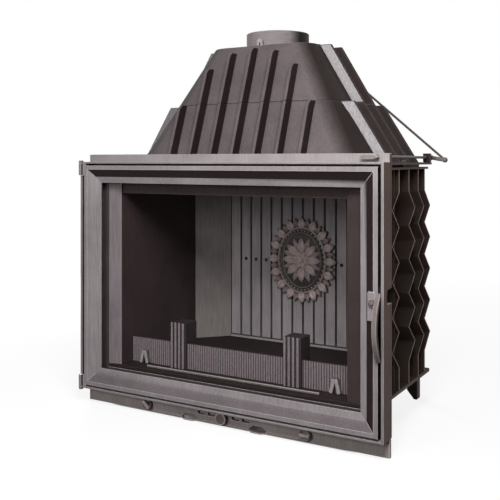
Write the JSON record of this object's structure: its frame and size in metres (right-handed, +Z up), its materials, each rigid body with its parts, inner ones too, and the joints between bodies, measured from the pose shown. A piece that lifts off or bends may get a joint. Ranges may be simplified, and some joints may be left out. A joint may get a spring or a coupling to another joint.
{
  "type": "fireplace insert",
  "caption": "Cast-iron fireplace insert: hinged glass door in a deep rim, finned side walls, ribbed smoke hood with round flue collar, log guard, air controls and damper linkage.",
  "frame": {"origin": "on the floor, in the middle of the width, in the plane of the front plate's front face", "axes": "+X to the right seen from the front, +Y to the back, +Z up along the flue"},
  "size_m": [0.7604, 0.471, 0.868],
  "materials": {
    "front_iron": "satin",
    "rim_iron": "satin",
    "strip_iron": "satin",
    "door_iron": "satin",
    "plate_iron": "matte",
    "fin_iron": "matte",
    "liner_iron": "matte",
    "panel_iron": "matte",
    "reveal_iron": "satin",
    "back_iron": "satin",
    "ornament_iron": "satin",
    "guard_iron": "satin",
    "foot_iron": "satin",
    "hood_iron": "satin",
    "collar_iron": "satin",
    "sheet_steel": "matte",
    "bolt_steel": "satin",
    "knob_steel": "satin",
    "lever_steel": "satin",
    "rod_steel": "satin",
    "handle_steel": "satin",
    "pane_glass": "gloss",
    "seal_fibre": "matte"
  },
  "bodies": {
    "insert_body": {"front_plate": "front_iron", "door_surround": "rim_iron", "base_apron": "strip_iron", "base_plate": "plate_iron", "top_plate": "plate_iron", "left_wall": "fin_iron", "right_wall": "fin_iron", "tie_bolts": "bolt_steel", "left_liner": "liner_iron", "right_liner": "liner_iron", "left_corner_panel": "panel_iron", "right_corner_panel": "panel_iron", "left_reveal": "reveal_iron", "right_reveal": "liner_iron", "fireback": "back_iron", "rear_wall": "plate_iron", "lintel_plate": "liner_iron", "baffle_plate": "liner_iron", "ornament": "ornament_iron", "ornament_studs": "bolt_steel", "guard_bar": "guard_iron", "left_guard_post": "guard_iron", "right_guard_post": "guard_iron", "guard_feet": "foot_iron", "threshold_bar": "foot_iron", "grate": "liner_iron", "ash_box": "sheet_steel", "ash_pan": "sheet_steel", "rear_legs": "plate_iron", "lower_hood": "hood_iron", "upper_hood": "hood_iron", "flue_collar": "collar_iron", "collar_hook": "collar_iron", "hinge_pins": "bolt_steel", "damper_lug": "plate_iron"},
    "door": {"door_frame": "door_iron", "door_glass": "pane_glass", "glass_tape": "seal_fibre", "glass_clips": "bolt_steel", "glass_screws": "bolt_steel", "door_rope": "seal_fibre"},
    "handle": {"door_handle": "handle_steel", "handle_spindle": "bolt_steel", "latch_cam": "bolt_steel", "spindle_nut": "bolt_steel"},
    "left_valve": {"left_air_knob": "knob_steel", "left_valve_disc": "bolt_steel"},
    "right_valve": {"right_air_knob": "knob_steel", "right_valve_disc": "bolt_steel"},
    "air_slide": {"air_slide_plate": "sheet_steel", "air_slide_knob": "knob_steel"},
    "damper_control": {"damper_lever": "lever_steel", "damper_shaft": "lever_steel", "damper_crank": "bolt_steel"},
    "damper_rod": {"damper_link": "rod_steel"},
    "flap": {"damper_flap": "plate_iron", "flap_spindle": "bolt_steel", "flap_lever": "bolt_steel"}
  },
  "joints": [
    {"name": "door_hinge", "type": "hinge", "parent": "insert_body", "child": "door", "pos_m": [-0.3704, -0.033, 0.2995], "axis": [0, 0, -1], "range_deg": [0, 110]},
    {"name": "handle_turn", "type": "hinge", "parent": "door", "child": "handle", "pos_m": [0.351, -0.033, 0.3], "axis": [0, -1, 0], "range_deg": [-45, 20]},
    {"name": "left_valve_turn", "type": "hinge", "parent": "insert_body", "child": "left_valve", "pos_m": [-0.198, 0, 0.017], "axis": [0, 1, 0], "range_deg": [0, 90]},
    {"name": "right_valve_turn", "type": "hinge", "parent": "insert_body", "child": "right_valve", "pos_m": [0.198, 0, 0.017], "axis": [0, 1, 0], "range_deg": [0, 90]},
    {"name": "air_slide_shift", "type": "slide", "parent": "insert_body", "child": "air_slide", "axis": [1, 0, 0], "range_m": [-0.006, 0.006]},
    {"name": "damper_turn", "type": "hinge", "parent": "insert_body", "child": "damper_control", "pos_m": [0.346, 0, 0.573], "axis": [0, 1, 0], "range_deg": [0, 60]},
    {"name": "flap_turn", "type": "hinge", "parent": "insert_body", "child": "flap", "pos_m": [0.1, 0.248, 0.783], "axis": [0, 1, 0], "range_deg": [0, 60]},
    {"name": "rod_turn", "type": "hinge", "parent": "damper_control", "child": "damper_rod", "pos_m": [0.3785, 0.3448, 0.56727], "axis": [0, 1, 0], "range_deg": [-60, 0]}
  ],
  "couplings": [
    {"joint": "flap_turn", "follows": "damper_turn", "ratio": 1},
    {"joint": "rod_turn", "follows": "damper_turn", "ratio": -1}
  ]
}
